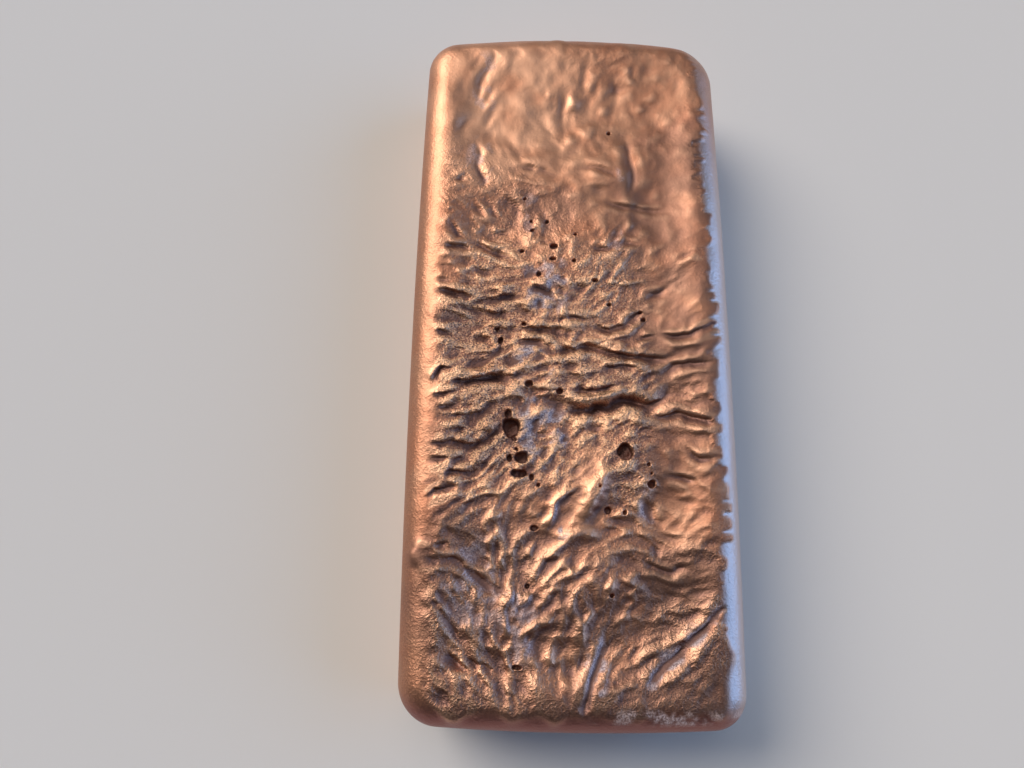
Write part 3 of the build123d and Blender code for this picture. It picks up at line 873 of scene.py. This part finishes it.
def finer_round_holes(mesh):
    """Divides the faces round the gas holes, so that the holes come out round."""
    edit = bmesh.new()
    edit.from_mesh(mesh)
    grid_faces = CELLS_ACROSS * CELLS_ALONG
    centres = np.array([face.calc_center_median()[:2] for face in edit.faces[:grid_faces]]) / MM
    chosen = np.zeros(grid_faces, bool)
    for x, y, across, along in GAS_HOLES:
        reach_x = across / 2 + HOLE_MARGIN
        reach_y = along / 2 + HOLE_MARGIN
        chosen |= np.hypot((centres[:, 0] - x) / reach_x, (centres[:, 1] - y) / reach_y) < 1
    edit.faces.ensure_lookup_table()
    edges = {edge for index in np.flatnonzero(chosen) for edge in edit.faces[index].edges}
    order = sorted(edges, key=lambda edge: edge.index)
    bmesh.ops.subdivide_edges(edit, edges=order, cuts=HOLE_CUTS, use_grid_fill=True)
    edit.to_mesh(mesh)
    edit.free()


def lay_relief(points, facing, raster):
    """Moves the vertices: the skin over the dish inside its border, the smooth rim outside.

    Gives how much of each vertex is skin, and how deep in a gas hole it is.
    """
    x, y, z = points.T.copy()
    at = {name: sample(values, x, y) for name, values in raster.items()}
    upward = np.clip(facing[:, 2], 0, 1)
    skin = at["inside"] * ramp(upward, 0.25, 0.75)
    # The skin overlaps the rim's first slope, so it stands a little proud there
    skin_z = np.minimum(at["dish"] + at["height"], HEIGHT - SKIN_DROP * (HEIGHT - z))
    rim_noise = RIM_UNEVENNESS * at["rim_small"] + RIM_WAVINESS * at["rim_large"]
    rim_z = z + upward * (rim_noise - RIM_SETBACK)
    z = np.where(facing[:, 2] > 0.02, skin * skin_z + (1 - skin) * rim_z, z)
    # The tops of the folds lean over their near sides
    lean = LEAN * np.clip(at["height"], -0.4, 0.4) * skin
    points[:, 0] += lean * at["lean_x"]
    points[:, 1] += lean * at["lean_y"]
    on_top = facing[:, 2] > 0.99
    holed_z = z.copy()
    hole = add_gas_holes(holed_z, x, y, at["ragged"])
    points[:, 2] = np.where(on_top, holed_z, z)
    return skin, hole * on_top


def rasters():
    """Everything the pour face is made from, as rasters of one size."""
    twice_cos, twice_sin = direction = fold_directions()
    crinkled, dross, far_third, sandy = zones()
    height = relief(direction, crinkled, dross, far_third)
    return {
        "height": height,
        "inside": skin_border(),
        "dish": smooth(np.minimum(skin_height(X, Y), HEIGHT), 0.9),
        # Across the folds, towards the near end, and less where they run along the bar
        "lean_x": twice_sin / 2,
        "lean_y": -(1 + twice_cos) / 2,
        "rim_small": noise(1.2),
        "rim_large": noise(3.5),
        "ragged": noise(0.5),
        # How high each place stands over those round it: the material paints the low places dark and the
        # high ones pale, partly oxide and rubbing and partly painted shade and highlight
        "oxide_rub_and_painted_light": np.clip(0.5 + 2.1 * (height - smooth(height, 0.9)), 0, 1),
        "film_and_sky_reflection": film_and_sky_reflection(height),
        "tarnish_and_painted_light": tarnish_and_painted_light(),
        "crinkled": np.clip(crinkled, 0, 1),
        "sandy": sandy,
        "ash": ramp(noise(0.6) + 0.7 * noise(0.25), -0.8, 1.0),
    }


def vertex_values(points, facing, skin, hole, raster):
    """What the material reads from each vertex, by name."""
    x, y = points[:, 0], points[:, 1]
    at = {name: sample(values, x, y) for name, values in raster.items()}
    rim = 1 - skin
    # Painted reflection of the blue sky lamp on the rim's faces that turn right, weaker towards the far
    # end
    painted_sky_reflection = rim * ramp(facing[:, 0] - 0.2 * np.abs(facing[:, 1]), 0.0, 0.3)
    painted_sky_reflection *= 1 - 0.7 * ramp(y, 22, 46)
    # A pale ashy band runs along the near end from its middle to the right corner
    from_end = LENGTH / 2 + y
    ash = ramp(x, 0, 9) * ramp(from_end, 1.3, 2.0) * (1 - ramp(from_end, 2.8, 4.0))
    return {
        # Inside the gas holes this goes to 0, so they are painted dark: painted shade
        "oxide_rub_and_painted_light": (skin * at["oxide_rub_and_painted_light"] + 0.5 * rim) * (1 - hole),
        "film_and_sky_reflection": at["film_and_sky_reflection"] * skin,
        "painted_sky_reflection": painted_sky_reflection,
        # Painted shade on the rim's faces that turn towards the near end
        "painted_near_shade": rim * ramp(-facing[:, 1], 0.05, 0.7),
        "tarnish_and_painted_light": at["tarnish_and_painted_light"] * (0.5 + 0.5 * skin),
        "crinkled": 0.45 + (at["crinkled"] - 0.45) * skin,
        "sandy": 0.4 + (at["sandy"] - 0.4) * skin,
        "ash": 0.7 * ash * at["ash"] * (facing[:, 2] > 0),
    }


def bar_object():
    """The bar as one mesh, with what its material reads from each vertex."""
    raster = rasters()
    edge_points, edge_normals = outline_loop()
    rings = profile()
    points, facing = bar_points(rings, edge_points, edge_normals)
    quads, underside = bar_faces(len(rings), len(edge_points))
    mesh = bpy.data.meshes.new("ingot_casting")
    mesh.from_pydata((points * MM).tolist(), [], quads.tolist() + [underside.tolist()])
    finer_round_holes(mesh)

    count = len(mesh.vertices)
    points = np.empty(3 * count, np.float32)
    mesh.vertices.foreach_get("co", points)
    points = points.reshape(-1, 3).astype(float) / MM
    # The vertices that the finer faces add all lie on the flat grid
    added_facing = np.tile([0.0, 0.0, 1.0], (count - len(facing), 1))
    facing = np.concatenate([facing, added_facing])
    skin, hole = lay_relief(points, facing, raster)
    mesh.vertices.foreach_set("co", (points * MM).ravel())

    for name, values in vertex_values(points, facing, skin, hole, raster).items():
        layer = mesh.attributes.new(name, "FLOAT", "POINT")
        layer.data.foreach_set("value", values.astype(np.float32))
    mesh.polygons.foreach_set("use_smooth", [True] * len(mesh.polygons))
    mesh.validate()
    mesh.update()
    return in_scene("ingot_casting", mesh)


# Materials

def new_material(name):
    """A material with one plain shader, its node tree and that shader."""
    material = bpy.data.materials.new(name)
    material.use_nodes = True
    tree = material.node_tree
    tree.nodes.clear()
    output = tree.nodes.new("ShaderNodeOutputMaterial")
    shader = tree.nodes.new("ShaderNodeBsdfPrincipled")
    tree.links.new(shader.outputs["BSDF"], output.inputs["Surface"])
    return material, tree, shader


def attribute(tree, name):
    """A value that the mesh keeps for each vertex."""
    node = tree.nodes.new("ShaderNodeAttribute")
    node.attribute_name = name
    return node.outputs["Fac"]


def noise_value(tree, place, size, detail=1.0, roughness=0.6):
    """Noise with features of about size millimetres."""
    node = tree.nodes.new("ShaderNodeTexNoise")
    node.inputs["Scale"].default_value = 1 / (size * MM)
    node.inputs["Detail"].default_value = detail
    node.inputs["Roughness"].default_value = roughness
    tree.links.new(place, node.inputs["Vector"])
    return node.outputs["Fac"]


def crest_value(tree, place, size):
    """Thin winding crests that are about size millimetres apart."""
    waves = noise_value(tree, place, size, roughness=0.5)
    rising = ranged(tree, waves, 0.38, 0.5, 0, 1)
    return added(tree, rising, ranged(tree, waves, 0.5, 0.62, 1, 0), "MINIMUM")


def ranged(tree, value, low, high, to_low, to_high):
    """The value from low..high brought to to_low..to_high, and held there."""
    node = tree.nodes.new("ShaderNodeMapRange")
    node.inputs["From Min"].default_value = low
    node.inputs["From Max"].default_value = high
    node.inputs["To Min"].default_value = to_low
    node.inputs["To Max"].default_value = to_high
    tree.links.new(value, node.inputs["Value"])
    return node.outputs["Result"]


def mixed(tree, share, first, second):
    """Colour between first and second by share; each is a colour or a socket."""
    node = tree.nodes.new("ShaderNodeMix")
    node.data_type = "RGBA"
    tree.links.new(share, node.inputs["Factor"])
    for name, colour in (("A", first), ("B", second)):
        socket = [s for s in node.inputs if s.name == name and s.type == "RGBA"][0]
        if isinstance(colour, tuple):
            socket.default_value = (*colour, 1.0)
        else:
            tree.links.new(colour, socket)
    return [s for s in node.outputs if s.type == "RGBA"][0]


def coated(tree, body, coats):
    """The body's colour under coats: a value, where it gives none and full, the share then, a colour."""
    for value, none, full, share, colour in coats:
        body = mixed(tree, ranged(tree, value, none, full, 0, share), body, colour)
    return body


def added(tree, first, second, operation="ADD"):
    """Two varying values added, or joined by another operation."""
    node = tree.nodes.new("ShaderNodeMath")
    node.operation = operation
    tree.links.new(first, node.inputs[0])
    tree.links.new(second, node.inputs[1])
    return node.outputs["Value"]


def bump(tree, height, depth, normal=None):
    """The surface's direction over relief of the given depth in millimetres."""
    node = tree.nodes.new("ShaderNodeBump")
    node.inputs["Strength"].default_value = 1.0
    node.inputs["Distance"].default_value = depth * MM
    tree.links.new(height, node.inputs["Height"])
    if normal:
        tree.links.new(normal, node.inputs["Normal"])
    return node.outputs["Normal"]


def copper_material():
    """Cast copper: satin, with a fine sandy grain, darker in the folds and brighter on their tops."""
    material, tree, shader = new_material("cast_copper")
    place = tree.nodes.new("ShaderNodeTexCoord").outputs["Object"]
    oxide_rub_and_painted_light = attribute(tree, "oxide_rub_and_painted_light")
    film_and_sky_reflection_map = attribute(tree, "film_and_sky_reflection")

    mottle = noise_value(tree, place, 5.0, 4.0)
    speck = noise_value(tree, place, 0.26)
    body = mixed(tree, ranged(tree, mottle, 0.35, 0.65, 0, 1), COPPER_WARM, COPPER)
    crinkled = ranged(tree, attribute(tree, "crinkled"), 0.15, 1, 0.2, 1)
    sandy = attribute(tree, "sandy")
    # The pale top colour, yellower where the grain is sandy: partly rubbed metal and partly painted
    # highlight
    top = mixed(tree, ranged(tree, sandy, 0.5, 1.4, 0, 1), COPPER_PALE, COPPER_BRIGHT)
    crinkles = added(tree, crest_value(tree, place, CRINKLE_SIZE), crinkled, "MULTIPLY")
    tarnish_and_painted_light_map = attribute(tree, "tarnish_and_painted_light")
    body = coated(tree, body, [
        # Below 0 the map paints the copper pale, painted light; above 0 it darkens and reddens it,
        # partly tarnishing and partly painted shade
        (tarnish_and_painted_light_map, 0, -1, 0.8, COPPER_PALE),
        (tarnish_and_painted_light_map, 0, 1, 0.8, COPPER_TARNISH_AND_SHADE),
        # Crinkle crests and high places take the pale top colour: partly rubbed metal and partly painted
        # highlight
        (crinkles, 0.5, 1.0, 0.4, top),
        (oxide_rub_and_painted_light, 0.52, 0.78, 0.9, top),
        # The same map dulls the copper again, tops included: more painted shade where the light falls
        # off
        (tarnish_and_painted_light_map, 0, 1, 0.7, COPPER_DULL),
    ])
    pale = added(tree, ranged(tree, speck, 0.49, 0.66, 0, 0.40), sandy, "MULTIPLY")
    dark = added(tree, ranged(tree, speck, 0.34, 0.49, 0.42, 0), sandy, "MULTIPLY")
    body = mixed(tree, dark, mixed(tree, pale, body, top), COPPER_DARK)
    speckled = mixed(tree, ranged(tree, speck, 0.4, 0.62, 0, 1), FILM_AND_SKY_REFLECTION_DARK, FILM_AND_SKY_REFLECTION)
    ash = added(tree, attribute(tree, "ash"), ranged(tree, speck, 0.38, 0.6, 0.35, 1.2), "MULTIPLY")
    body = coated(tree, body, [
        # The blue-grey tint: partly an oxide and partly painted sky reflection
        (film_and_sky_reflection_map, 0.1, 0.9, 0.9, speckled),
        # Painted reflection of the blue sky on the right of the rim
        (attribute(tree, "painted_sky_reflection"), 0, 1, 0.85, RIM_SKY_REFLECTION),
        # Painted shade on the near side of the rim
        (attribute(tree, "painted_near_shade"), 0, 1, 0.85, RIM_PAINTED_SHADE),
        # Low places and the insides of the gas holes turn dark: partly oxide and partly painted shade
        (oxide_rub_and_painted_light, 0.46, 0.08, 1, COPPER_DARK),
        (ash, 0, 1, 0.9, ASH),
    ])
    tree.links.new(body, shader.inputs["Base Color"])

    rough = ranged(tree, oxide_rub_and_painted_light, 0.1, 0.8, 0.50, 0.41)
    rough = added(tree, rough, ranged(tree, speck, 0.3, 0.7, -0.04, 0.04))
    rough = added(tree, rough, ranged(tree, film_and_sky_reflection_map, 0.1, 0.9, 0, 0.14))
    tree.links.new(rough, shader.inputs["Roughness"])
    # Ash is a thin oxide over the metal, and so in part is the blue-grey tint, which is also painted sky
    # reflection
    bare = ranged(tree, ash, 0, 1, 1, 0.3)
    bare = added(tree, bare, ranged(tree, film_and_sky_reflection_map, 0.1, 0.9, 1, 0.55), "MULTIPLY")
    tree.links.new(bare, shader.inputs["Metallic"])

    normal = bump(tree, crinkles, CRINKLE_DEPTH)
    sand = added(tree, noise_value(tree, place, SAND_SIZE), sandy, "MULTIPLY")
    grain = added(tree, noise_value(tree, place, GRAIN_SIZE), sandy, "MULTIPLY")
    normal = bump(tree, grain, GRAIN_DEPTH, bump(tree, sand, SAND_DEPTH, normal))
    tree.links.new(normal, shader.inputs["Normal"])
    return material


def floor_material():
    """Plain pale matt floor."""
    material, _, shader = new_material("studio_floor")
    shader.inputs["Base Color"].default_value = (*FLOOR_COLOUR, 1.0)
    shader.inputs["Roughness"].default_value = 0.9
    shader.inputs["Specular IOR Level"].default_value = 0.1
    return material


# Stage: floor, world, lamps and camera

def add_floor():
    """The pale floor that the bar rests on."""
    mesh = bpy.data.meshes.new("floor")
    half = FLOOR_SPAN / 2
    corners = [(-half, -half, 0), (half, -half, 0), (half, half, 0), (-half, half, 0)]
    mesh.from_pydata(corners, [], [(0, 1, 2, 3)])
    floor = in_scene("floor", mesh)
    floor.data.materials.append(floor_material())


def set_world():
    """Plain grey studio surroundings, pale at the far horizon, darker near and overhead."""
    world = bpy.data.worlds.new("studio")
    bpy.context.scene.world = world
    world.use_nodes = True
    tree = world.node_tree
    tree.nodes.clear()
    output = tree.nodes.new("ShaderNodeOutputWorld")
    background = tree.nodes.new("ShaderNodeBackground")
    direction = tree.nodes.new("ShaderNodeTexCoord").outputs["Generated"]
    parts = tree.nodes.new("ShaderNodeSeparateXYZ")
    tree.links.new(direction, parts.inputs["Vector"])
    away = ranged(tree, parts.outputs["Y"], -0.7, 0.5, 0, 1)
    horizon = mixed(tree, away, NEAR_HORIZON_COLOUR, FAR_HORIZON_COLOUR)
    climb = ranged(tree, parts.outputs["Z"], 0.0, 0.8, 0, 1)
    tree.links.new(mixed(tree, climb, horizon, ZENITH_COLOUR), background.inputs["Color"])
    tree.links.new(background.outputs["Background"], output.inputs["Surface"])


def add_lamp(name, azimuth, elevation, spread, strength, colour):
    """A far soft lamp: where it stands in degrees, how wide it looks, and its strength."""
    data = bpy.data.lights.new(name, "SUN")
    data.angle = math.radians(spread)
    data.energy = strength
    data.color = colour
    in_scene(name, data).rotation_euler = (0, math.radians(90 - elevation), math.radians(azimuth))


def add_camera():
    """The camera at the photograph's viewing angle."""
    data = bpy.data.cameras.new("camera")
    data.sensor_width = SENSOR_WIDTH
    data.lens = SENSOR_WIDTH * FOCAL_PIXELS / IMAGE_WIDTH
    data.clip_start = 0.001
    data.clip_end = 100.0
    forward = np.array([
        math.sin(CAMERA_YAW) * math.cos(CAMERA_DIP),
        math.cos(CAMERA_YAW) * math.cos(CAMERA_DIP),
        -math.sin(CAMERA_DIP),
    ])
    level_right = np.array([math.cos(CAMERA_YAW), -math.sin(CAMERA_YAW), 0.0])
    level_up = np.cross(level_right, forward)
    right = math.cos(CAMERA_ROLL) * level_right + math.sin(CAMERA_ROLL) * level_up
    up = math.cos(CAMERA_ROLL) * level_up - math.sin(CAMERA_ROLL) * level_right
    matrix = np.eye(4)
    matrix[:3] = np.column_stack([right, up, -forward, np.array(CAMERA_PLACE) * MM])
    camera = in_scene("camera", data)
    camera.matrix_world = matrix.T.tolist()
    bpy.context.scene.camera = camera


add_camera()
bar = bar_object()
bar.data.materials.append(copper_material())
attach(bar, "root")
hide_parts("ingot")
add_floor()
set_world()
for lamp in LAMPS:
    add_lamp(*lamp)
bpy.context.scene.view_settings.view_transform = "Standard"
